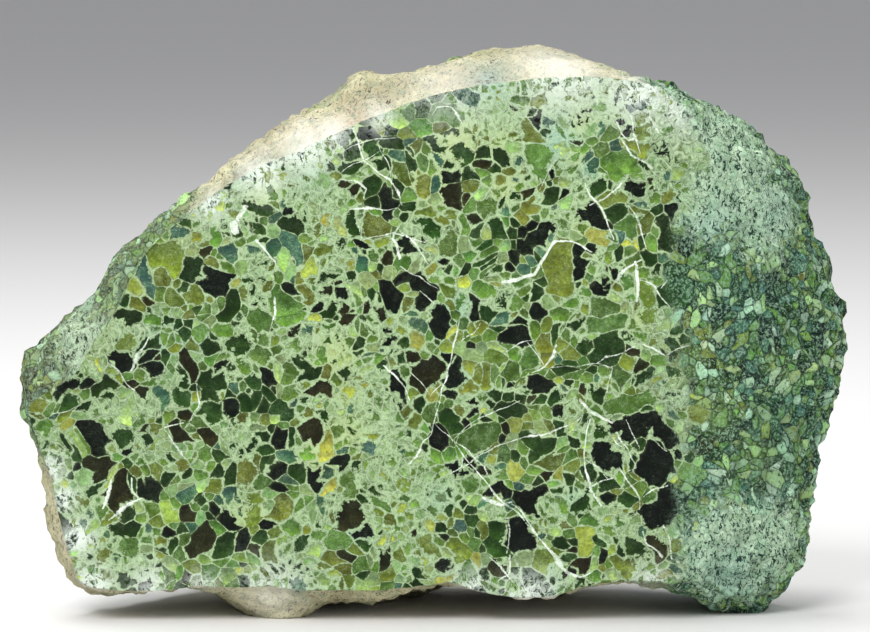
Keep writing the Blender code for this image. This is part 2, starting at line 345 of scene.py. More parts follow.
# %% Zones
PALE_PATCHES = [
    (230, 175, 40, 1.0), (290, 180, 34, 1.0), (330, 195, 24, 0.8), (200, 205, 20, 0.9), (255, 272, 18, 0.6),
    (330, 240, 22, 0.6), (495, 118, 28, 0.9), (560, 108, 25, 0.7), (600, 98, 28, 0.9), (660, 110, 34, 1.0),
    (735, 150, 62, 1.0), (775, 215, 44, 1.0), (708, 205, 34, 1.0), (585, 175, 12, 0.9), (80, 345, 36, 1.0),
    (50, 440, 16, 0.7), (112, 410, 20, 0.8), (150, 400, 16, 0.6), (172, 385, 14, 0.6), (375, 438, 34, 1.0),
    (405, 495, 30, 0.8), (395, 535, 28, 0.8), (345, 415, 24, 0.8), (360, 385, 18, 0.6), (240, 430, 22, 0.7),
    (160, 452, 22, 0.8), (190, 462, 22, 0.7), (240, 500, 14, 0.8), (335, 505, 14, 0.6), (300, 455, 14, 0.5),
    (555, 520, 16, 0.6), (620, 528, 20, 0.8), (672, 395, 18, 0.9), (650, 335, 18, 0.8), (335, 342, 18, 0.6),
    (380, 322, 14, 0.5), (300, 345, 22, 0.6), (495, 515, 12, 0.9), (600, 262, 18, 0.6), (500, 298, 16, 0.5),
    (100, 560, 30, 0.6), (150, 570, 24, 0.6), (300, 570, 22, 0.5), (640, 570, 20, 0.6), (735, 560, 56, 1.0),
    (780, 550, 46, 1.0), (80, 500, 22, 0.6), (560, 575, 18, 0.6), (380, 470, 20, 0.5), (240, 350, 14, 0.4),
]
TEAL_PATCHES = [
    (560, 140, 20, 0.9), (590, 168, 12, 0.6), (455, 308, 14, 0.7), (165, 345, 20, 0.6), (195, 345, 14, 0.5),
    (345, 548, 18, 0.6), (470, 365, 14, 0.6), (720, 235, 28, 0.7), (700, 280, 24, 0.6), (750, 300, 40, 0.7),
    (790, 430, 60, 0.9), (745, 330, 18, 0.7), (700, 490, 30, 0.5), (620, 235, 14, 0.5), (800, 210, 34, 0.8),
    (820, 330, 30, 0.9), (735, 590, 34, 0.8), (310, 165, 22, 0.6), (255, 170, 18, 0.4), (425, 70, 12, 1.0),
    (487, 75, 22, 1.0), (370, 100, 22, 0.5), (130, 265, 20, 0.6), (240, 170, 14, 0.5), (560, 40, 10, 0.0),
    (680, 200, 20, 0.3), (440, 500, 16, 0.4), (570, 500, 14, 0.4), (90, 470, 14, 0.4), (540, 590, 22, 0.5),
]
WARM_PATCHES = [
    (455, 140, 24, 0.8), (430, 185, 22, 0.7), (500, 145, 16, 0.5), (395, 275, 18, 0.5), (265, 190, 16, 0.7),
    (335, 355, 20, 0.7), (345, 435, 20, 0.6), (320, 455, 16, 0.8), (585, 235, 14, 0.5), (580, 125, 12, 0.6),
    (575, 155, 10, 0.7), (505, 185, 14, 0.7), (135, 285, 14, 0.8), (640, 245, 10, 0.7), (520, 475, 14, 0.7),
    (660, 235, 12, 0.4), (345, 395, 12, 0.5), (170, 515, 14, 0.6), (250, 520, 18, 0.6), (640, 320, 10, 0.5),
    (690, 360, 18, 0.7), (715, 410, 24, 0.6), (760, 460, 22, 0.7), (785, 370, 16, 0.7), (700, 80, 20, 0.2),
    (360, 115, 30, 0.9), (450, 68, 16, 0.9), (300, 140, 30, 0.6), (160, 245, 30, 0.6), (70, 330, 30, 0.5),
]
# Near-white patches: pale crust and white veins by the edges, and along the top rim a painted highlight.
WHITE_CRUST_AND_HIGHLIGHT_PATCHES = [
    (300, 140, 26, 1.0), (260, 165, 24, 0.8), (330, 130, 20, 1.0), (210, 200, 16, 0.7), (380, 118, 14, 0.8),
    (50, 470, 12, 1.0), (62, 500, 10, 1.0), (75, 540, 14, 1.0), (90, 590, 18, 0.9), (200, 592, 16, 0.8),
    (270, 600, 30, 0.6), (530, 600, 22, 1.0), (700, 604, 26, 0.8), (755, 606, 16, 0.9), (560, 50, 44, 1.0),
    (640, 85, 30, 0.8), (690, 95, 30, 0.8), (760, 140, 22, 0.8), (790, 545, 26, 0.7), (820, 390, 18, 0.9),
    (800, 395, 18, 0.7), (440, 80, 40, 0.5), (150, 592, 20, 0.6), (470, 590, 16, 0.8), (655, 590, 18, 0.7),
]


def to_mm(x, y):
    """A place on the drawing as millimetres across and up the stone."""
    return (x - DRAWING_ORIGIN[0]) / DRAWING_UNITS_PER_MM, (DRAWING_ORIGIN[1] - y) / DRAWING_UNITS_PER_MM


def patches(points, table):
    """How much each point is in the patches: the strongest one, each falling off as a bell."""
    total = np.zeros(len(points))
    for x, y, radius, strength in table:
        across, up = to_mm(x, y)
        radius = radius / DRAWING_UNITS_PER_MM
        away = (points[:, 0] - across) ** 2 + (points[:, 2] - up) ** 2 + (0.5 * points[:, 1]) ** 2
        total = np.maximum(total, strength * np.exp(-away / radius**2 * 0.9))
    return total


def smooth(low, high, value):
    """0 below low, 1 above high, and an S curve between them."""
    share = np.clip((value - low) / (high - low), 0, 1)
    return share * share * (3 - 2 * share)


wander = 2.2 * waves(form, 14.0, 21) + 1.2 * waves(form, 5.0, 22)
on_saw_cut = 1 - smooth(0.02, 0.25, form[:, 1])
on_saw_cut *= 1 - smooth(31.5, 36.0, form[:, 0] + 1.1 * wander)
broken = smooth(22.0, 31.0, form[:, 0] + wander)
left_tip = smooth(27.0, 34.0, -form[:, 0] + wander) * smooth(16.0, 26.0, form[:, 2])
broken = np.maximum(broken, 0.85 * left_tip)
broken = np.maximum(broken, smooth(0.8, 3.0, pressed + 0.4 * wander))
zones = {
    "sawn": on_saw_cut,
    "broken": broken,
    "pale": patches(form, PALE_PATCHES),
    "teal": patches(form, TEAL_PATCHES),
    "warm": patches(form, WARM_PATCHES),
    "white_crust_and_highlight": patches(form, WHITE_CRUST_AND_HIGHLIGHT_PATCHES),
}
print({name: round(float(zone.mean()), 3) for name, zone in zones.items()})

# %% [markdown]
# ## The grains
# Olivine grains grew against each other in hot rock, so each one ends where its neighbours do.
# That is a Voronoi pattern: every point belongs to the nearest grain, less that grain's size.
# The grains that catch the eye are listed one by one, each as one or more discs; the rest are scattered.

# %% Listed grains
GRAINS = {
    "black": [
        [(216, 276, 9), (213, 286, 10), (222, 290, 6)], [(256, 301, 6), (264, 304, 5)], [(320, 307, 6)],
        [(362, 134, 6), (372, 136, 5)], [(386, 195, 6), (389, 205, 8), (388, 216, 5)], [(404, 242, 6), (410, 250, 7)],
        [(446, 178, 5), (458, 176, 5)], [(537, 122, 5), (539, 116, 4)], [(522, 232, 4), (532, 226, 5)],
        [(585, 215, 9), (595, 212, 9), (598, 222, 7)], [(578, 250, 5), (579, 262, 6), (577, 274, 5)], [(592, 248, 4)],
        [(514, 256, 6), (524, 248, 7), (534, 240, 8), (544, 233, 6), (552, 228, 4)], [(734, 434, 8), (727, 437, 5)],
        [(405, 277, 6), (418, 284, 8), (430, 292, 8), (424, 303, 9)], [(343, 292, 6)], [(628, 186, 8), (640, 190, 8)],
        [(598, 290, 5), (606, 282, 5), (614, 272, 4)], [(510, 338, 6), (518, 336, 7)], [(534, 312, 5), (541, 314, 5)],
        [(113, 357, 6), (122, 362, 8)], [(148, 356, 6)], [(150, 367, 6), (156, 372, 5)], [(276, 437, 4), (284, 441, 4)],
        [(62, 388, 5), (74, 385, 5), (86, 383, 5)], [(98, 432, 7), (95, 442, 9), (94, 452, 4)], [(757, 433, 8)],
        [(142, 492, 7), (152, 491, 7)], [(268, 377, 7)], [(278, 470, 6)], [(313, 478, 6), (318, 487, 6)],
        [(386, 292, 7), (393, 302, 8)], [(386, 332, 5), (391, 340, 6)], [(438, 312, 8), (440, 322, 9), (442, 331, 6)],
        [(452, 370, 6), (453, 382, 7), (452, 394, 5)], [(393, 376, 5), (396, 386, 7), (402, 394, 5)], [(475, 412, 4)],
        [(476, 305, 4), (475, 315, 4)], [(535, 382, 7), (543, 386, 8)], [(455, 470, 6), (463, 474, 5)], [(360, 243, 4)],
        [(338, 462, 7), (342, 470, 5)], [(618, 428, 8), (630, 432, 9), (642, 424, 10), (655, 420, 8), (662, 432, 11), (670, 441, 8)],
        [(603, 450, 8), (612, 458, 10), (602, 465, 6)], [(655, 456, 12), (645, 469, 9), (665, 466, 11), (655, 479, 8)],
        [(668, 499, 12), (652, 513, 10), (666, 516, 12), (675, 506, 10)], [(226, 520, 6), (231, 528, 5)], [(215, 512, 5)],
        [(243, 539, 8)], [(267, 526, 6)], [(357, 535, 6), (366, 533, 7)], [(492, 492, 5), (500, 488, 6), (506, 494, 5)],
        [(520, 500, 8), (530, 497, 10), (538, 492, 7), (528, 508, 8)], [(518, 533, 12), (515, 547, 9), (524, 545, 8)],
        [(578, 118, 5), (588, 115, 5)], [(622, 124, 6), (629, 126, 6), (627, 133, 5)], [(751, 178, 5), (760, 178, 6)],
        [(657, 148, 5), (665, 152, 6)], [(727, 196, 4)], [(442, 568, 5), (450, 571, 4)], [(608, 500, 6)], [(603, 558, 4)],
        [(775, 248, 6), (788, 246, 6)], [(440, 434, 8), (437, 443, 8)], [(120, 287, 3.5)], [(790, 435, 8), (778, 430, 7)],
    ],
    "brown": [
        [(92, 465, 8), (104, 465, 8), (100, 475, 5)], [(120, 475, 5), (118, 485, 9), (121, 497, 10), (116, 507, 8)],
        [(186, 360, 5), (190, 368, 6), (194, 376, 5)], [(314, 392, 6), (325, 388, 8)], [(306, 434, 6), (316, 430, 8)],
        [(176, 430, 5), (183, 437, 6)], [(205, 434, 5), (211, 437, 5)], [(345, 308, 6), (348, 320, 6)], [(413, 357, 6)],
        [(420, 373, 10), (432, 370, 10), (440, 368, 7), (425, 384, 8), (416, 382, 6)], [(470, 466, 6), (482, 472, 6)],
        [(195, 545, 6), (208, 538, 7), (190, 552, 6)], [(350, 512, 9), (345, 520, 9), (352, 525, 6)], [(488, 165, 4)],
        [(385, 562, 7)], [(655, 545, 8), (662, 553, 7)], [(585, 568, 6)], [(497, 573, 5), (506, 577, 4)], [(354, 190, 5)],
        [(705, 447, 8)], [(145, 587, 6)], [(585, 390, 5)], [(632, 352, 6), (636, 345, 4)], [(450, 190, 6), (452, 201, 8)],
    ],
    "dark": [
        [(188, 273, 10), (196, 268, 9)], [(224, 226, 4)], [(286, 224, 7), (296, 224, 8)], [(226, 314, 6), (234, 305, 7)],
        [(252, 293, 6)], [(255, 208, 6), (265, 210, 6)], [(120, 315, 6), (135, 318, 8)], [(330, 311, 7)], [(186, 289, 5)],
        [(258, 228, 5)], [(345, 138, 7), (352, 134, 5)], [(352, 152, 8), (356, 145, 5)], [(350, 168, 8), (355, 165, 6)],
        [(368, 146, 6), (374, 152, 7)], [(385, 142, 5), (396, 145, 7)], [(380, 164, 5), (388, 162, 5)], [(412, 165, 5)],
        [(370, 190, 7), (376, 183, 6)], [(398, 187, 5)], [(372, 201, 5)], [(434, 142, 5), (437, 149, 4)], [(494, 167, 4)],
        [(424, 222, 6), (430, 228, 8)], [(496, 222, 4), (497, 232, 6)], [(551, 196, 8)], [(452, 165, 4)], [(466, 175, 6)],
        [(664, 225, 6), (667, 237, 6), (666, 247, 5)], [(676, 292, 16)], [(670, 269, 8)], [(608, 345, 11), (600, 356, 8), (615, 357, 8)],
        [(630, 340, 5)], [(575, 325, 5)], [(563, 371, 6)], [(100, 388, 6), (108, 382, 7)], [(68, 402, 8)], [(125, 514, 8)],
        [(92, 492, 7)], [(146, 344, 6), (154, 341, 5)], [(205, 380, 8), (213, 385, 9), (209, 393, 8)], [(250, 446, 6)],
        [(208, 408, 6), (214, 413, 8)], [(207, 346, 6), (214, 349, 5)], [(234, 344, 6), (244, 342, 7), (240, 350, 5)],
        [(252, 382, 6)], [(246, 402, 5), (256, 398, 5), (268, 394, 5)], [(280, 408, 8), (288, 415, 7)], [(230, 476, 6)],
        [(305, 366, 6), (311, 374, 7)], [(218, 474, 4)], [(487, 312, 6)], [(503, 412, 6), (514, 411, 7)], [(495, 395, 6)],
        [(535, 444, 8), (542, 450, 8), (536, 456, 6)], [(555, 398, 6)], [(633, 463, 5)], [(628, 502, 8)], [(590, 390, 5), (598, 395, 5)],
        [(588, 474, 7)], [(604, 482, 8)], [(672, 373, 5)], [(690, 373, 6)], [(118, 532, 8), (130, 531, 8)], [(363, 500, 5), (373, 493, 4)],
        [(500, 535, 9), (494, 548, 8), (504, 553, 7)], [(418, 575, 5), (418, 586, 5)], [(578, 508, 7), (585, 503, 7)], [(384, 366, 5)],
        [(632, 546, 8), (640, 552, 7)], [(686, 112, 4), (692, 105, 4)], [(720, 128, 4)], [(728, 157, 4), (737, 160, 4)], [(752, 220, 5)],
        [(447, 417, 7), (455, 428, 6)], [(697, 352, 5)], [(645, 378, 7)], [(538, 484, 5)], [(400, 357, 5)], [(620, 210, 7), (609, 213, 6)],
    ],
    "green": [
        [(262, 318, 13)], [(284, 308, 14), (288, 318, 10)], [(216, 236, 6)], [(402, 262, 6)], [(440, 113, 7), (452, 113, 9), (458, 118, 5)],
        [(446, 246, 8), (452, 240, 6)], [(537, 148, 7), (541, 158, 9), (538, 170, 7)], [(628, 222, 8), (632, 235, 6)], [(622, 375, 9)],
        [(598, 308, 8), (612, 308, 7)], [(597, 326, 7), (610, 322, 8), (620, 320, 5)], [(530, 361, 8)], [(510, 372, 8)], [(562, 314, 6)],
        [(204, 455, 7)], [(290, 396, 6)], [(485, 290, 7)], [(470, 440, 9), (482, 434, 10), (492, 432, 8), (478, 446, 7)], [(437, 456, 6)],
        [(612, 408, 6), (625, 405, 7), (640, 402, 7), (650, 400, 5)], [(345, 480, 8), (352, 487, 8), (348, 496, 5)], [(562, 507, 6)],
        [(376, 502, 6), (383, 505, 6)], [(611, 133, 6), (616, 130, 5)], [(612, 165, 9), (625, 160, 10), (618, 175, 9), (632, 168, 6)],
        [(667, 130, 6)], [(690, 475, 10)], [(660, 360, 6)], [(125, 545, 6), (128, 553, 6)], [(470, 485, 8)], [(575, 375, 6)],
    ],
    "olive": [
        [(158, 255, 13), (172, 258, 14)], [(162, 275, 8)], [(192, 296, 7)], [(172, 298, 6)], [(234, 215, 6)], [(198, 236, 5)],
        [(306, 290, 5), (311, 300, 6)], [(318, 232, 5)], [(307, 252, 7)], [(322, 250, 7)], [(245, 291, 6)], [(625, 363, 8)],
        [(398, 166, 8), (403, 174, 6)], [(370, 222, 7), (374, 230, 9), (384, 228, 7)], [(430, 212, 6)], [(525, 128, 5), (529, 138, 6)],
        [(520, 215, 5), (527, 207, 6), (532, 200, 4)], [(562, 250, 11), (557, 262, 12), (560, 276, 11), (557, 288, 9), (566, 289, 8)],
        [(645, 290, 7), (650, 302, 9), (648, 315, 8)], [(608, 198, 6), (622, 197, 6)], [(545, 345, 7), (548, 358, 6)], [(500, 357, 6)],
        [(127, 342, 8)], [(545, 463, 6), (555, 462, 6)], [(468, 388, 7)], [(487, 382, 5)], [(424, 542, 6), (430, 552, 6)],
        [(276, 516, 7), (285, 507, 8)], [(543, 563, 8), (552, 558, 8)], [(620, 566, 6), (630, 568, 6), (627, 576, 5)], [(452, 214, 6)],
        [(642, 120, 8), (648, 126, 7), (643, 136, 6)], [(632, 145, 6), (642, 148, 7)], [(738, 508, 7)], [(700, 415, 9)],
        [(455, 546, 7), (462, 553, 8), (460, 562, 5)], [(252, 500, 6), (255, 512, 6), (253, 522, 6), (252, 532, 5)],
    ],
    "yellow": [
        [(136, 288, 8)], [(310, 266, 7)], [(598, 233, 6), (602, 242, 5)], [(628, 242, 4), (634, 240, 3)], [(65, 427, 6)],
        [(430, 390, 4), (431, 397, 3)], [(325, 445, 7), (326, 456, 6)], [(350, 392, 6)], [(166, 508, 5), (168, 518, 7)],
        [(515, 473, 8)], [(584, 535, 7), (586, 545, 7), (584, 553, 5)], [(445, 583, 6)], [(330, 488, 6)], [(417, 343, 7)],
        [(760, 456, 5), (767, 454, 4)], [(778, 370, 5), (788, 372, 5)], [(706, 406, 5)], [(270, 175, 5), (282, 178, 5)],
    ],
    "teal": [
        [(290, 242, 9), (297, 250, 8)], [(272, 250, 7)], [(231, 254, 7)], [(143, 268, 6), (147, 282, 7), (150, 290, 5)], [(252, 250, 6)],
        [(396, 156, 7)], [(356, 252, 4), (362, 262, 6)], [(546, 122, 5)], [(522, 268, 4), (530, 258, 4), (540, 248, 4), (550, 238, 4)],
        [(366, 446, 5), (371, 450, 6)], [(672, 413, 5)], [(520, 489, 4), (530, 491, 4)], [(632, 108, 5), (640, 105, 6)],
        [(590, 170, 6), (595, 163, 5)], [(730, 180, 5)], [(743, 326, 7)], [(790, 185, 6)], [(557, 140, 3)], [(470, 100, 8), (464, 95, 6)],
    ],
}
print(sum(len(grains) for grains in GRAINS.values()), "grains set by hand")

# %% [markdown]
# The scattered grains are thrown like darts just under the surface, and a dart that lands inside
# an earlier grain is taken out. They are coarse on the sawn face and the back and fine where the
# side broke, because rock breaks along its smaller grains.

# %% Scattered grains
BEND_WAVES = [(9.0, 0.55, 31), (4.2, 0.30, 33), (2.3, 0.14, 35)]
DART_THROWS = 50
DARTS_IN_THROW = 1500
GRAIN_COLOURS = {
    "black": (3, 10, 6), "brown": (26, 26, 10), "dark": (22, 46, 14), "green": (70, 102, 42),
    "olive": (86, 100, 36), "yellow": (132, 146, 62), "teal": (46, 78, 64), "pale": (116, 144, 92),
    "mint": (128, 156, 130),
}
FACE_MIX = {"black": 0.03, "brown": 0.03, "dark": 0.20, "green": 0.34, "olive": 0.17, "yellow": 0.03, "teal": 0.04, "pale": 0.16}
PALE_MIX = {"dark": 0.12, "green": 0.22, "olive": 0.14, "yellow": 0.06, "teal": 0.10, "pale": 0.38}
BROKEN_MIX = {"black": 0.10, "dark": 0.20, "green": 0.18, "olive": 0.06, "teal": 0.18, "pale": 0.12, "mint": 0.16}


def linear(colour):
    """A colour in 0 to 255 screen values as the linear values that light works in."""
    screen = np.array(colour, float) / 255
    return np.where(screen <= 0.04045, screen / 12.92, ((screen + 0.055) / 1.055) ** 2.4)


def bent(points):
    """Points moved a little across and up by soft waves, so that grain edges aren't straight."""
    across = sum(size * waves(points, length, seed) for length, size, seed in BEND_WAVES)
    up = sum(size * waves(points, length, seed + 1) for length, size, seed in BEND_WAVES)
    return points + np.stack([across, np.zeros(len(points)), up], axis=1)


def grain_size_at(points, is_sawn, is_pale):
    """Radius that a scattered grain has at each place, before chance: coarse on the sawn face."""
    right = smooth(30.0, 38.0, points[:, 0] + 1.5 * waves(points, 12.0, 41))
    coarse = 0.98 - 0.22 * is_pale - 0.2 * smooth(-52, -30, -points[:, 0] - 8)
    fine = 0.50
    skin = (1 - is_sawn) * 0.6
    return coarse * (1 - np.maximum(right, skin)) + fine * np.maximum(right, skin)


def hand_set_grains():
    """Centre, radius, grain number and kind of every disc listed in GRAINS."""
    centres, radii, numbers, kinds = [], [], [], []
    number = 0
    for kind, grains in GRAINS.items():
        for discs in grains:
            for x, y, radius in discs:
                across, up = to_mm(x, y)
                centres.append((across, 0.0, up))
                radii.append(radius / DRAWING_UNITS_PER_MM)
                numbers.append(number)
            kinds.append(kind)
            number += 1
    return np.array(centres), np.array(radii), np.array(numbers), kinds


def scatter_grains(random, surface, inward, sizes, centres, radii):
    """Darts in throws: each dart is a point of the surface pushed in by part of its own radius,
    and it stays if it is clear of all the grains before it."""
    for _ in range(DART_THROWS):
        pick = random.integers(0, len(surface), DARTS_IN_THROW)
        radius = sizes[pick] * random.lognormal(0.0, 0.45, DARTS_IN_THROW)
        place = surface[pick] + inward[pick] * (radius * random.uniform(0.0, 0.5, DARTS_IN_THROW))[:, None]
        gap = np.linalg.norm(place[:, None] - centres[None], axis=2) - 0.9 * (radius[:, None] + radii[None])
        clear = gap.min(axis=1) > 0
        place, radius = place[clear], radius[clear]
        gap = np.linalg.norm(place[:, None] - place[None], axis=2) - 0.9 * (radius[:, None] + radius[None])
        earlier = np.tril(gap < 0, -1).any(axis=1)
        centres = np.concatenate([centres, place[~earlier]])
        radii = np.concatenate([radii, radius[~earlier]])
    return centres, radii


def pick_kinds(random, mixes, amounts):
    """A kind for each grain: one of the mixes by its amount there, then a kind from that mix."""
    which = (random.random(len(amounts[0]))[:, None] > np.cumsum(amounts, axis=0).T).sum(axis=1)
    kinds = np.empty(len(which), object)
    for number, mix in enumerate(mixes):
        chosen = which == number
        share = np.array(list(mix.values()))
        kinds[chosen] = random.choice(list(mix), int(chosen.sum()), p=share / share.sum())
    return kinds


random = np.random.default_rng(7)
normals = point_normals(form, triangles)
corners = form[triangles]
area = np.linalg.norm(np.cross(corners[:, 1] - corners[:, 0], corners[:, 2] - corners[:, 0]), axis=1)
chosen = random.choice(len(triangles), 60000, p=area / area.sum())
share = random.dirichlet((1, 1, 1), len(chosen))[:, :, None]
surface = (corners[chosen] * share).sum(axis=1)
first_corner = triangles[chosen, 0]
sizes = grain_size_at(surface, zones["sawn"][first_corner], zones["pale"][first_corner])
hand_centres, hand_radii, hand_numbers, hand_kinds = hand_set_grains()
centres, radii = scatter_grains(random, surface, -normals[first_corner], sizes, hand_centres, hand_radii)
scattered = len(centres) - len(hand_centres)
numbers = np.concatenate([hand_numbers, len(hand_kinds) + np.arange(scattered)])
new = centres[len(hand_centres):]
at_right = smooth(29.0, 36.0, new[:, 0]) * smooth(-70, -48, -new[:, 2])
skin_there = smooth(0.6, 1.5, new[:, 1])
is_broken = np.clip(np.maximum(at_right, 0.8 * skin_there), 0, 1)
is_pale = patches(new, PALE_PATCHES) * (1 - is_broken)
amounts = np.stack([is_broken, is_pale, 1 - is_broken - is_pale])
kinds = np.concatenate([hand_kinds, pick_kinds(random, [BROKEN_MIX, PALE_MIX, FACE_MIX], amounts)])
shade = random.normal(0.0, 0.16, (len(kinds), 1)) + random.normal(0.0, 0.07, (len(kinds), 3))
grain_colours = np.array([linear(GRAIN_COLOURS[kind]) for kind in kinds]) * np.exp(shade)
print(scattered, "grains scattered")

# %% [markdown]
# Each triangle gets the three nearest grains: their places, sizes and colours. The material then
# works out, at every point, which one is nearest and how far the next one is. Grain edges are
# as sharp as the picture can show, and the mesh can stay light.

# %% Nearest grains
BLOCK = 5.0  # the points are taken in square blocks of this size
BLOCK_MARGIN = 3.6


def nearest_grains(points, centres, sizes, numbers):
    """For each point, the nearest disc of each of the three nearest grains, and the three
    distances less the discs' sizes."""
    found = np.zeros((len(points), 3), int)
    distance = np.full((len(points), 3), 9.0)
    low = points[:, [0, 2]].min(axis=0)
    block = np.floor((points[:, [0, 2]] - low) / BLOCK).astype(int)
    key = block[:, 0] * 1000 + block[:, 1]
    for each in np.unique(key):
        members = np.flatnonzero(key == each)
        box_low = low + np.array([each // 1000, each % 1000]) * BLOCK - BLOCK_MARGIN
        box_high = box_low + BLOCK + 2 * BLOCK_MARGIN
        near = ((centres[:, [0, 2]] > box_low) & (centres[:, [0, 2]] < box_high)).all(axis=1)
        near = np.flatnonzero(near)
        for part in np.array_split(members, len(members) // 1500 + 1):
            away = points[part][:, None] - centres[near][None]
            away = np.sqrt(np.einsum("ijk,ijk->ij", away, away)) - sizes[near][None]
            for order in range(3):
                best = away.argmin(axis=1)
                found[part, order] = near[best]
                distance[part, order] = away[np.arange(len(part)), best]
                away[numbers[near][None] == numbers[near][best][:, None]] = 1e3
    return found, distance


bent_centres = bent(centres)
bent_form = bent(form)
weights = np.where(np.arange(len(radii)) < len(hand_radii), radii, 0.75 * radii)
face_middle = bent_form[triangles].mean(axis=1)
face_grains, _ = nearest_grains(face_middle, bent_centres, weights, numbers)
point_grains, point_distance = nearest_grains(bent_form, bent_centres, weights, numbers)
print("nearest grains found for", len(face_middle), "triangles")

# %% [markdown]
# ## Long veins
# Where the rock cracked right through, serpentine filled the crack, and later cracks cut across
# the grains. Each vein is a bent line. A triangle gets the nearest piece of line and its width.

# %% Listed veins
VEINS = [
    (4.5, [(505, 283), (520, 279), (533, 275), (540, 264), (548, 252), (557, 242)]), (3.0, [(557, 242), (567, 240), (582, 243), (591, 251)]),
    (1.8, [(459, 318), (457, 335), (452, 358), (446, 378), (441, 400), (437, 418), (430, 439)]),
    (2.0, [(430, 439), (420, 452), (412, 463)]), (1.8, [(437, 424), (452, 441), (468, 463), (482, 481), (500, 499), (520, 518), (539, 537)]),
    (1.6, [(453, 442), (470, 452), (482, 466), (489, 480)]), (1.6, [(475, 458), (495, 448), (512, 441), (528, 437), (545, 435), (565, 428), (581, 420)]),
    (1.6, [(453, 441), (465, 427), (480, 416), (491, 411), (506, 408), (522, 402)]), (1.3, [(506, 352), (520, 344), (534, 339)]),
    (1.3, [(552, 368), (580, 367), (597, 366), (613, 369), (607, 390), (605, 399)]), (1.3, [(597, 366), (608, 358), (622, 352), (635, 345)]),
    (3.0, [(532, 374), (545, 368), (553, 353), (556, 345)]), (2.0, [(528, 343), (536, 352), (545, 367)]), (5.0, [(581, 398), (589, 411), (600, 419), (612, 423)]),
    (2.6, [(590, 421), (585, 440), (583, 459), (588, 476), (591, 492), (602, 507)]), (1.5, [(583, 460), (596, 467), (608, 480)]),
    (1.5, [(590, 486), (600, 482), (613, 479)]), (1.1, [(628, 421), (635, 436), (641, 449)]), (1.1, [(612, 437), (622, 448)]),
    (1.2, [(617, 432), (630, 453), (638, 469), (629, 474)]), (1.0, [(655, 439), (661, 446), (669, 452)]), (2.0, [(621, 470), (629, 483), (641, 499), (641, 512)]),
    (2.2, [(645, 498), (655, 490), (668, 486)]), (3.0, [(643, 533), (650, 548), (663, 559)]), (2.0, [(665, 529), (670, 544), (674, 561)]),
    (1.6, [(341, 151), (352, 146), (370, 142), (381, 138), (400, 137)]), (2.0, [(352, 129), (358, 142), (363, 159)]), (1.6, [(380, 148), (386, 160), (391, 176)]),
    (1.5, [(341, 173), (352, 163), (366, 160), (381, 150)]), (1.7, [(363, 160), (376, 171), (391, 178), (398, 190), (402, 206)]),
    (2.2, [(339, 178), (355, 180), (365, 190), (362, 200)]), (2.0, [(349, 210), (370, 207), (386, 210), (398, 208)]), (1.6, [(355, 222), (362, 240), (368, 239), (392, 232), (411, 237), (427, 241)]),
    (3.5, [(398, 226), (391, 236), (396, 248), (399, 260)]), (1.6, [(52, 415), (68, 412), (79, 407)]), (2.0, [(108, 362), (120, 375), (126, 386), (134, 391)]),
    (3.0, [(130, 371), (140, 351), (150, 337)]), (2.2, [(158, 430), (170, 426), (182, 423)]), (1.6, [(162, 430), (178, 450), (184, 460)]),
    (1.6, [(196, 380), (198, 408), (192, 421)]), (3.0, [(111, 476), (107, 492), (101, 510)]), (3.0, [(132, 481), (132, 493), (139, 501)]), (2.0, [(108, 519), (125, 508), (141, 501)]),
    (4.5, [(233, 230), (238, 217), (246, 204)]), (2.5, [(258, 240), (267, 252), (276, 262)]), (2.4, [(274, 297), (273, 315), (270, 331)]), (2.0, [(621, 183), (607, 195), (590, 205)]),
    (2.0, [(585, 183), (593, 198), (600, 208), (606, 225), (613, 238)]), (2.0, [(628, 205), (637, 218), (641, 235), (646, 249)]), (1.6, [(640, 280), (652, 285), (662, 300), (669, 309)]),
    (2.0, [(660, 288), (670, 278), (681, 270)]), (4.0, [(634, 263), (638, 280), (636, 300)]), (3.0, [(643, 343), (653, 352), (664, 356)]), (1.8, [(664, 356), (676, 350), (690, 347), (706, 340)]),
    (2.0, [(615, 122), (622, 135), (628, 142), (636, 138)]), (2.0, [(628, 112), (633, 130), (640, 152)]), (2.0, [(644, 98), (650, 115), (659, 131)]), (2.6, [(622, 143), (630, 153), (640, 160), (651, 166)]),
    (2.0, [(430, 117), (436, 108), (450, 107), (457, 112), (463, 124)]), (2.0, [(490, 558), (500, 568), (513, 585)]), (2.0, [(511, 559), (508, 575), (496, 586)]),
    (2.2, [(512, 505), (528, 523), (543, 541)]), (4.5, [(543, 541), (555, 558), (565, 573), (580, 580), (591, 575)]), (1.4, [(507, 520), (508, 536), (507, 556)]),
    (1.6, [(400, 232), (408, 236), (420, 246), (428, 262)]), (1.4, [(398, 268), (420, 277), (440, 290)]), (1.2, [(420, 292), (434, 303)]), (3.0, [(483, 500), (500, 505), (512, 503)]),
    (1.3, [(462, 470), (477, 457)]), (1.3, [(440, 478), (462, 469), (461, 457)]), (1.6, [(540, 190), (547, 175), (556, 160)]), (1.4, [(463, 342), (475, 334), (482, 322)]),
    (1.6, [(410, 372), (424, 388), (431, 398)]), (1.5, [(431, 398), (439, 390), (443, 384)]), (2.2, [(385, 365), (395, 372), (405, 388), (409, 400)]), (3.0, [(612, 285), (625, 268), (640, 262)]),
]
VEIN_SHARE = 0.75  # how much of its drawn width a vein keeps where it is clean
VEIN_BEND = [(6.0, 0.16, 51), (2.6, 0.10, 53)]


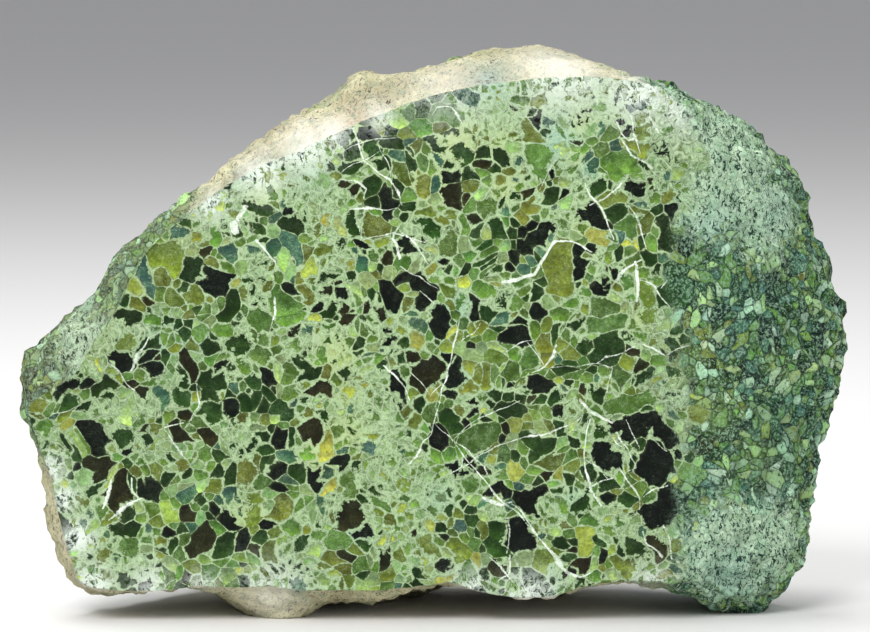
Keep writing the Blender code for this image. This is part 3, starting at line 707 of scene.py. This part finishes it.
def vein_pieces():
    """Start, end and half width of every straight piece of every vein, in bent coordinates. Each
    line is cut finer than it is written, so that it can wobble."""
    starts, ends, halves = [], [], []
    for width, line in VEINS:
        line = np.array([to_mm(x, y) for x, y in line])
        length = np.concatenate([[0], np.cumsum(np.linalg.norm(np.diff(line, axis=0), axis=1))])
        along = np.linspace(0, length[-1], int(length[-1] / 0.7) + 2)
        flat = np.stack([np.interp(along, length, line[:, 0]), np.zeros(len(along)), np.interp(along, length, line[:, 1])], 1)
        flat[:, 0] += sum(size * waves(flat, wave, seed) for wave, size, seed in VEIN_BEND)
        flat[:, 2] += sum(size * waves(flat, wave, seed + 1) for wave, size, seed in VEIN_BEND)
        taper = 0.55 + 0.45 * np.sin(np.clip(along / length[-1], 0.02, 0.98) * math.pi)
        half = VEIN_SHARE * width / DRAWING_UNITS_PER_MM / 2 * taper
        flat = bent(flat)
        starts.append(flat[:-1])
        ends.append(flat[1:])
        halves.append((half[:-1] + half[1:]) / 2)
    return np.concatenate(starts), np.concatenate(ends), np.concatenate(halves)


def nearest_piece(points, starts, ends, halves):
    """For each point the piece of vein that is nearest, and its distance from the line."""
    best = np.zeros(len(points), int)
    distance = np.full(len(points), 99.0)
    along = ends - starts
    for part in np.array_split(np.arange(len(points)), len(points) // 2000 + 1):
        toward = points[part][:, None] - starts[None]
        share = np.clip((toward * along).sum(axis=2) / (along**2).sum(axis=1), 0, 1)
        away = np.linalg.norm(toward - share[..., None] * along[None], axis=2) - halves
        best[part] = away.argmin(axis=1)
        distance[part] = away[np.arange(len(part)), best[part]]
    return best, distance


starts, ends, halves = vein_pieces()
near_face = np.flatnonzero(face_middle[:, 1] < 6.0)
vein_piece = np.zeros(len(triangles), int)
vein_distance = np.full(len(triangles), 99.0)
vein_piece[near_face], vein_distance[near_face] = nearest_piece(face_middle[near_face], starts, ends, halves)
vein_half = np.where(vein_distance < 0.8, halves[vein_piece], -1.0)
print(len(VEINS), "veins in", len(starts), "pieces")

# %% [markdown]
# ## Fine relief
# The saw left the face flat to a tenth of a millimetre: soft serpentine wore down less evenly than
# the hard grains, and a few grains fell out. On the broken side every grain stands out as a round
# bead with a gap round it. The rind is lumpy and pitted.

# %% Relief of the skin
def fine_relief():
    """Height in millimetres at each point, never above the solid's surface by more than it is
    hollow: beads where the rock broke, soft lumps and pits on the rind, and shallow grain
    hollows on the sawn face."""
    edge = np.clip(point_distance[:, 1] - point_distance[:, 0], 0, 1.2)
    beads = 0.34 * (1 - np.exp(-edge / 0.30)) - 0.34
    rubble = 0.45 * waves(form, 4.0, 61) + 0.25 * waves(form, 1.9, 62) - 0.45
    number = numbers[point_grains[:, 0]]
    depth_of_grain = np.random.default_rng(9).uniform(0.0, 1.0, number.max() + 1)[number] ** 3
    face = -0.02 - 0.22 * depth_of_grain * smooth(0.15, 0.5, edge)
    rind = 0.22 * waves(form, 3.2, 63) + 0.14 * waves(form, 1.5, 64) - 0.30
    pits = -0.5 * smooth(0.9, 1.5, waves(form, 2.4, 65))
    skin = zones["broken"] * (beads + rubble) + (1 - zones["broken"]) * (rind + pits + 0.25 * beads)
    at_rim = smooth(0.0, 1.6, form[:, 1])
    return zones["sawn"] * face + (1 - zones["sawn"]) * skin * (0.35 + 0.65 * at_rim)


relief = fine_relief()
finished = form + normals * relief[:, None]
finished[:, 2] = np.maximum(finished[:, 2], 0.0)
finished[form[:, 2] <= 0.0, 2] = 0.0
shift = np.array([cad_low.x / MM - form[:, 0].min(), cad_low.y / MM, 0.0])
shift[0] = (cad_low.x + cad_high.x) / 2 / MM - (form[:, 0].min() + form[:, 0].max()) / 2
finished = np.clip(finished + shift, np.array(cad_low) / MM, np.array(cad_high) / MM)
print("relief from", round(relief.min(), 2), "to", round(relief.max(), 2), "mm; moved by", shift.round(2))

# %% The mesh object
def make_mesh(points, triangles):
    """A mesh from whole arrays of points and triangles."""
    mesh = bpy.data.meshes.new("stone")
    mesh.vertices.add(len(points))
    mesh.vertices.foreach_set("co", (points * MM).astype(np.float32).ravel())
    mesh.loops.add(triangles.size)
    mesh.loops.foreach_set("vertex_index", triangles.astype(np.int32).ravel())
    mesh.polygons.add(len(triangles))
    mesh.polygons.foreach_set("loop_start", np.arange(0, triangles.size, 3, dtype=np.int32))
    mesh.update(calc_edges=True)
    mesh.validate()
    mesh.polygons.foreach_set("use_smooth", np.ones(len(triangles), bool))
    return mesh


def add_attribute(mesh, name, values, domain):
    """Stores one number or one vector for each point or triangle."""
    vector = values.ndim == 2
    attribute = mesh.attributes.new(name, "FLOAT_VECTOR" if vector else "FLOAT", domain)
    attribute.data.foreach_set("vector" if vector else "value", values.astype(np.float32).ravel())


mesh = make_mesh(finished, triangles)
for name, zone in zones.items():
    add_attribute(mesh, name, zone, "POINT")
add_attribute(mesh, "rock_place", bent_form, "POINT")
for order in range(3):
    grain = face_grains[:, order]
    add_attribute(mesh, f"grain_centre_{order + 1}", bent_centres[grain], "FACE")
    add_attribute(mesh, f"grain_size_{order + 1}", weights[grain], "FACE")
    add_attribute(mesh, f"grain_colour_{order + 1}", grain_colours[numbers[grain]], "FACE")
add_attribute(mesh, "vein_start", starts[vein_piece], "FACE")
add_attribute(mesh, "vein_end", ends[vein_piece], "FACE")
add_attribute(mesh, "vein_half", vein_half, "FACE")
stone = bpy.data.objects.new("stone", mesh)
bpy.context.scene.collection.objects.link(stone)
print(len(mesh.polygons), "triangles in", stone.name)

# %% [markdown]
# ## The finish of the rock
# One material does the whole stone. It finds the nearest grain, colours it, lets light pool at
# its lower end as it does in a clear grain, lays the pale serpentine between the grains, and
# draws the veins. The zones then swap in the broken rock and the rind.

# %% Short names for shader nodes
material = bpy.data.materials.new("peridotite_rock")
material.use_nodes = True
tree = material.node_tree
shader = tree.nodes["Principled BSDF"]


def node(kind, **settings):
    made = tree.nodes.new(kind)
    for name, value in settings.items():
        setattr(made, name, value)
    return made


def plug(socket, value):
    """Joins an output to a socket, or sets the socket's number."""
    if isinstance(value, bpy.types.NodeSocket):
        tree.links.new(value, socket)
    elif value is not None:
        socket.default_value = value


def calc(operation, a, b=None, c=None, clamp=False):
    made = node("ShaderNodeMath", operation=operation, use_clamp=clamp)
    for socket, value in zip(made.inputs, (a, b, c)):
        plug(socket, value)
    return made.outputs[0]


def vector(operation, a, b=None, scale=None):
    made = node("ShaderNodeVectorMath", operation=operation)
    plug(made.inputs[0], a)
    plug(made.inputs[1], b)
    if scale is not None:
        plug(made.inputs["Scale"], scale)
    return made.outputs["Value" if operation in ("LENGTH", "DOT_PRODUCT", "DISTANCE") else 0]


def attribute(name, output):
    return node("ShaderNodeAttribute", attribute_name=name).outputs[output]


def ramp(value, low, high, to_low=0.0, to_high=1.0):
    """An S curve from to_low at low to to_high at high."""
    made = node("ShaderNodeMapRange", interpolation_type="SMOOTHSTEP")
    for name, number in zip(("Value", "From Min", "From Max", "To Min", "To Max"), (value, low, high, to_low, to_high)):
        plug(made.inputs[name], number)
    return made.outputs["Result"]


def blend(share, a, b):
    """Colour a at share 0 and colour b at share 1."""
    made = node("ShaderNodeMix", data_type="RGBA")
    plug(made.inputs[0], share)
    plug(made.inputs[6], paint(a))
    plug(made.inputs[7], paint(b))
    return made.outputs[2]


def paint(colour):
    """A screen colour as a socket value; an output stays as it is."""
    return (*linear(colour), 1.0) if isinstance(colour, tuple) else colour


def noise_colour(place, scale):
    """Three slow noises at once, to bend a place by."""
    made = node("ShaderNodeTexNoise")
    plug(made.inputs["Vector"], place)
    plug(made.inputs["Scale"], scale)
    return made.outputs["Color"]


def noise(place, scale, detail=2.0, roughness=0.5, distortion=0.0):
    made = node("ShaderNodeTexNoise")
    plug(made.inputs["Vector"], place)
    plug(made.inputs["Scale"], scale)
    plug(made.inputs["Detail"], detail)
    plug(made.inputs["Roughness"], roughness)
    plug(made.inputs["Distortion"], distortion)
    return made.outputs["Fac"]


# %% Nearest grain, edges and veins
place = vector("SCALE", node("ShaderNodeTexCoord").outputs["Object"], scale=1000.0)
rock_place = attribute("rock_place", "Vector")
ragged = calc("MULTIPLY_ADD", noise(place, 2.4, 5, 0.72), 0.40, -0.20)
away = []
for order in (1, 2, 3):
    to_grain = vector("DISTANCE", rock_place, attribute(f"grain_centre_{order}", "Vector"))
    away.append(calc("SUBTRACT", to_grain, attribute(f"grain_size_{order}", "Fac")))
first_two = calc("MINIMUM", away[0], away[1])
nearest = calc("MINIMUM", first_two, away[2])
farther = calc("MAXIMUM", away[0], away[1])
second = calc("MINIMUM", farther, calc("MAXIMUM", first_two, away[2]))
to_edge = calc("MULTIPLY", calc("SUBTRACT", second, nearest), 0.5)
third_wins = calc("LESS_THAN", away[2], first_two)
second_wins = calc("LESS_THAN", away[1], away[0])
colour = blend(second_wins, attribute("grain_colour_1", "Vector"), attribute("grain_colour_2", "Vector"))
colour = blend(third_wins, colour, attribute("grain_colour_3", "Vector"))
centre = blend(second_wins, attribute("grain_centre_1", "Vector"), attribute("grain_centre_2", "Vector"))
centre = blend(third_wins, centre, attribute("grain_centre_3", "Vector"))
from_centre = vector("SUBTRACT", rock_place, centre)
split = node("ShaderNodeSeparateXYZ")
plug(split.inputs[0], from_centre)
chance_node = node("ShaderNodeTexWhiteNoise", noise_dimensions="3D")
plug(chance_node.inputs["Vector"], colour)
chance = chance_node.outputs["Value"]

vein_start, vein_end = attribute("vein_start", "Vector"), attribute("vein_end", "Vector")
vein_line = vector("SUBTRACT", vein_end, vein_start)
to_start = vector("SUBTRACT", rock_place, vein_start)
along = calc("DIVIDE", vector("DOT_PRODUCT", to_start, vein_line), vector("DOT_PRODUCT", vein_line, vein_line), clamp=True)
off_vein = vector("LENGTH", vector("SUBTRACT", to_start, vector("SCALE", vein_line, scale=along)))
vein_edge = calc("SUBTRACT", attribute("vein_half", "Fac"), calc("ADD", off_vein, calc("MULTIPLY", ragged, 0.7)))
vein = ramp(vein_edge, -0.03, 0.04)

# %% Zones and fields
sawn, broken_zone = attribute("sawn", "Fac"), attribute("broken", "Fac")
pale, teal = attribute("pale", "Fac"), attribute("teal", "Fac")
warm, white_crust_and_highlight = attribute("warm", "Fac"), attribute("white_crust_and_highlight", "Fac")
slow = noise(place, 0.16, 3, 0.55)
medium = noise(place, 0.55, 4, 0.6, 0.6)
fine = noise(place, 2.6, 4, 0.7, 0.4)
strand_noise = noise(vector("MULTIPLY", place, (0.75, 0.75, 1.25)), 1.15, 5, 0.62, 1.6)
strands = ramp(calc("ABSOLUTE", calc("SUBTRACT", strand_noise, 0.5)), 0.0, 0.022, 1.0, 0.0)
fleck_noise = noise(vector("MULTIPLY", place, (1.25, 1.0, 0.8)), 1.5, 5, 0.72, 1.1)

# %% Colour of the sawn face
light_pool = ramp(calc("MULTIPLY", split.outputs["Z"], -1.0), -0.9, 1.9)
light_pool = calc("MULTIPLY", light_pool, ramp(chance, 0.25, 0.85))
lit_colour = vector("MULTIPLY", colour, (2.7, 2.55, 1.25))
grain = blend(light_pool, colour, lit_colour)
cloud = calc("MULTIPLY_ADD", medium, 1.5, 0.10)
grain = vector("SCALE", grain, scale=cloud)
grain = blend(calc("MULTIPLY", ramp(to_edge, 0.30, 0.06), 0.10), grain, (120, 140, 84))
grain = vector("SCALE", grain, scale=ramp(fine, 0.35, 0.70, 0.80, 1.45))

vary = noise(place, 0.95, 4, 0.65, 0.8)
net_width = ramp(calc("MULTIPLY_ADD", pale, 0.34, slow), 0.36, 0.92, 0.02, 0.60)
net_width = calc("MULTIPLY", net_width, ramp(vary, 0.32, 0.68, 0.06, 1.75))
into_grain = calc("SUBTRACT", calc("ADD", to_edge, ragged), net_width)
net = ramp(into_grain, -0.03, 0.04, 1.0, 0.0)

serpentine = blend(ramp(vary, 0.35, 0.65), (98, 124, 78), (158, 186, 138))
serpentine = blend(calc("MULTIPLY", ramp(slow, 0.35, 0.65), 0.35), serpentine, (128, 152, 110))
fibre_place = vector("MULTIPLY", vector("ADD", place, vector("SCALE", noise_colour(place, 0.35), scale=7.0)), (3.2, 1.0, 0.8))
fibres = noise(fibre_place, 1.3, 5, 0.7, 0.5)
serpentine = vector("SCALE", serpentine, scale=ramp(fibres, 0.34, 0.64, 0.50, 1.22))
serpentine = blend(calc("MULTIPLY", teal, 0.75), serpentine, (128, 172, 158))
serpentine = blend(calc("MULTIPLY", warm, 0.7), serpentine, (180, 196, 122))
serpentine = blend(calc("MULTIPLY", ramp(fleck_noise, 0.60, 0.63), 0.75), serpentine, (62, 84, 56))
# Near-white between the grains where the white patches lie: white veins, and at the top edge a painted highlight.
serpentine = blend(calc("MULTIPLY", white_crust_and_highlight, 0.85), serpentine, (224, 234, 226))
serpentine = blend(calc("MULTIPLY", ramp(fleck_noise, 0.63, 0.66), ramp(pale, 0.1, 0.7)), serpentine, (30, 42, 36))
serpentine = blend(calc("MULTIPLY", strands, 0.5), serpentine, (196, 214, 180))
hairline = ramp(calc("ADD", to_edge, calc("MULTIPLY", ragged, 0.25)), 0.02, 0.07, 1.0, 0.0)
serpentine = blend(calc("MULTIPLY", hairline, 0.4), serpentine, (198, 214, 180))

face_colour = blend(net, grain, serpentine)
face_colour = blend(calc("MULTIPLY", hairline, ramp(vary, 0.40, 0.62, 0.06, 0.65)), face_colour, (150, 174, 130))
on_light = ramp(vector("DOT_PRODUCT", colour, (0.3, 0.6, 0.1)), 0.008, 0.06, 0.15, 1.0)
on_light = calc("MAXIMUM", on_light, net)
strand_share = calc("MULTIPLY", calc("MULTIPLY", strands, on_light), ramp(medium, 0.40, 0.62, 0.0, 0.6))
face_colour = blend(strand_share, face_colour, (160, 182, 142))
cracks = ramp(calc("ABSOLUTE", calc("SUBTRACT", noise(place, 0.62, 4, 0.6, 2.4), 0.5)), 0.0, 0.009, 1.0, 0.0)
crack_share = calc("MULTIPLY", calc("MULTIPLY", cracks, on_light), ramp(vary, 0.42, 0.60, 0.0, 0.7))
face_colour = blend(crack_share, face_colour, (178, 196, 164))
vein_colour = blend(ramp(medium, 0.30, 0.62), (184, 202, 176), (224, 232, 220))
face_colour = blend(calc("MULTIPLY", vein, ramp(vary, 0.34, 0.56, 0.45, 1.0)), face_colour, vein_colour)
# White crust over the fibrous parts of the white patches, and at the top edge a painted highlight.
crust_and_highlight = calc("MULTIPLY", white_crust_and_highlight, ramp(calc("ADD", fibres, vary), 0.86, 1.02))
face_colour = blend(calc("MULTIPLY", crust_and_highlight, 0.9), face_colour, (216, 226, 216))
crust_fleck = calc("MULTIPLY", ramp(white_crust_and_highlight, 0.2, 0.6), ramp(fleck_noise, 0.58, 0.61))
face_colour = blend(crust_fleck, face_colour, (34, 44, 42))

# %% Colour of the broken side and the rind
# Gaps round the beads on the broken side. They sink the bump below, and their near-black colour is painted shade in
# those recesses.
gap = ramp(calc("ADD", to_edge, ragged), 0.03, 0.14, 1.0, 0.0)
bead = vector("SCALE", colour, scale=calc("MULTIPLY_ADD", medium, 1.8, 0.7))
bead = blend(calc("MULTIPLY", ramp(fine, 0.47, 0.58), 0.80), bead, (132, 164, 136))
bead = blend(calc("MULTIPLY", ramp(fleck_noise, 0.55, 0.60), 0.85), bead, (20, 34, 30))
bead = blend(calc("MULTIPLY", teal, 0.30), bead, (60, 104, 92))
bead = blend(calc("MULTIPLY", warm, 0.5), bead, (128, 156, 84))
# Painted shade: near black in the gaps round the beads.
broken_colour = blend(calc("MULTIPLY", gap, ramp(vary, 0.35, 0.6, 0.25, 0.85)), bead, (16, 30, 26))
flecked = blend(ramp(medium, 0.3, 0.7), (148, 180, 148), (184, 208, 178))
flecked = vector("SCALE", flecked, scale=ramp(fibres, 0.34, 0.64, 0.70, 1.18))
flecked = blend(calc("MULTIPLY", teal, 0.6), flecked, (110, 150, 144))
flecked = blend(ramp(fleck_noise, 0.52, 0.57), flecked, (36, 60, 52))
broken_colour = blend(ramp(calc("ADD", calc("MULTIPLY", pale, 0.8), calc("MULTIPLY", vary, 1.3)), 0.78, 1.22), broken_colour, flecked)

rind = blend(ramp(slow, 0.35, 0.65), (200, 196, 160), (168, 162, 128))
rind = blend(calc("MULTIPLY", warm, 0.6), rind, (206, 176, 146))
rind = blend(calc("MULTIPLY", teal, 0.8), rind, (140, 166, 160))
rind = blend(calc("MULTIPLY", ramp(vary, 0.50, 0.62), 0.7), rind, (132, 146, 118))
rind = blend(ramp(fleck_noise, 0.565, 0.60), rind, (70, 66, 56))
rind = blend(calc("MULTIPLY", ramp(fine, 0.55, 0.62), 0.7), rind, (104, 96, 80))
# Near-white on the rind where the white patches lie: a painted highlight along the top rim, pale crust elsewhere.
rind = blend(calc("MULTIPLY", white_crust_and_highlight, 0.75), rind, (234, 232, 222))
rind = blend(calc("MULTIPLY", ramp(fleck_noise, 0.66, 0.68), 0.8), rind, (46, 44, 44))
skin_colour = blend(broken_zone, rind, broken_colour)
base_colour = blend(sawn, skin_colour, face_colour)

# %% Shine and grain relief
dull = calc("MAXIMUM", net, vein)
face_rough = ramp(dull, 0.0, 1.0, 0.30, 0.62)
roughness = calc("MULTIPLY_ADD", calc("SUBTRACT", face_rough, 0.8), sawn, 0.8)
height = calc("MULTIPLY", dull, calc("MULTIPLY", sawn, 0.45))
height = calc("ADD", height, calc("MULTIPLY", fine, 0.30))
height = calc("ADD", height, calc("MULTIPLY", calc("SUBTRACT", 1.0, sawn), calc("MULTIPLY", fleck_noise, 1.6)))
height = calc("SUBTRACT", height, calc("MULTIPLY", calc("MULTIPLY", gap, broken_zone), 1.2))
bump = node("ShaderNodeBump")
plug(bump.inputs["Height"], height)
plug(bump.inputs["Strength"], 0.7)
plug(bump.inputs["Distance"], 0.0002)
plug(shader.inputs["Base Color"], base_colour)
plug(shader.inputs["Roughness"], roughness)
plug(shader.inputs["Normal"], bump.outputs[0])
shader.inputs["Specular IOR Level"].default_value = 0.12
mesh.materials.append(material)
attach(stone, "root")
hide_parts("peridotite")
print(len(tree.nodes), "nodes in the rock's material")

# %% [markdown]
# ## Floor, light and camera
# A pale floor and soft light from large lamps, as for a museum record. The camera looks a little
# down at the sawn face from 650 mm, through a long lens.

# %% Floor
FLOOR_HALF = 9.0
floor_mesh = bpy.data.meshes.new("floor")
corners = [(-FLOOR_HALF, -FLOOR_HALF, 0), (FLOOR_HALF, -FLOOR_HALF, 0), (FLOOR_HALF, FLOOR_HALF, 0), (-FLOOR_HALF, FLOOR_HALF, 0)]
floor_mesh.from_pydata(corners, [], [(0, 1, 2, 3)])
floor = bpy.data.objects.new("floor", floor_mesh)
bpy.context.scene.collection.objects.link(floor)
floor_material = bpy.data.materials.new("floor_paper")
floor_material.use_nodes = True
floor_shader = floor_material.node_tree.nodes["Principled BSDF"]
floor_shader.inputs["Base Color"].default_value = (0.80, 0.79, 0.78, 1)
floor_shader.inputs["Roughness"].default_value = 0.75
floor_mesh.materials.append(floor_material)

# %% Light
def area_light(name, place, aim, width, height, power):
    lamp = bpy.data.lights.new(name, "AREA")
    lamp.shape = "RECTANGLE"
    lamp.size = width
    lamp.size_y = height
    lamp.energy = power
    holder = bpy.data.objects.new(name, lamp)
    holder.location = place
    holder.rotation_euler = (Vector(aim) - Vector(place)).to_track_quat("-Z", "Y").to_euler()
    bpy.context.scene.collection.objects.link(holder)


area_light("key", (-0.35, -0.75, 0.75), (0, 0, 0.035), 0.5, 0.5, 9.0)
area_light("fill", (0.75, -0.6, 0.35), (0, 0, 0.035), 0.6, 0.6, 3.5)
area_light("top", (-0.15, 0.15, 0.8), (0, 0, 0.04), 0.5, 0.5, 5.0)
world = bpy.data.worlds.new("soft_room")
world.use_nodes = True
world.node_tree.nodes["Background"].inputs["Color"].default_value = (0.95, 0.97, 1.0, 1)
world.node_tree.nodes["Background"].inputs["Strength"].default_value = 0.38
bpy.context.scene.world = world
bpy.context.scene.view_settings.view_transform = "Standard"

# %% Camera
SENSOR = 36.0
PICTURE_WIDTH_MM = 870 / DRAWING_UNITS_PER_MM
AIM_HEIGHT_MM = (DRAWING_ORIGIN[1] - 316) / DRAWING_UNITS_PER_MM
camera_data = bpy.data.cameras.new("camera")
camera_data.sensor_width = SENSOR
camera_data.lens = SENSOR * SIGHT_DISTANCE / PICTURE_WIDTH_MM
camera_data.clip_start, camera_data.clip_end = 0.05, 10
camera = bpy.data.objects.new("camera", camera_data)
tilt = math.radians(5.0)
aim = np.array([shift[0], shift[1], AIM_HEIGHT_MM])
camera.location = (aim + SIGHT_DISTANCE * np.array([0, -math.cos(tilt), math.sin(tilt)])) * MM
camera.rotation_euler = (math.pi / 2 - tilt, 0, 0)
bpy.context.scene.collection.objects.link(camera)
bpy.context.scene.camera = camera
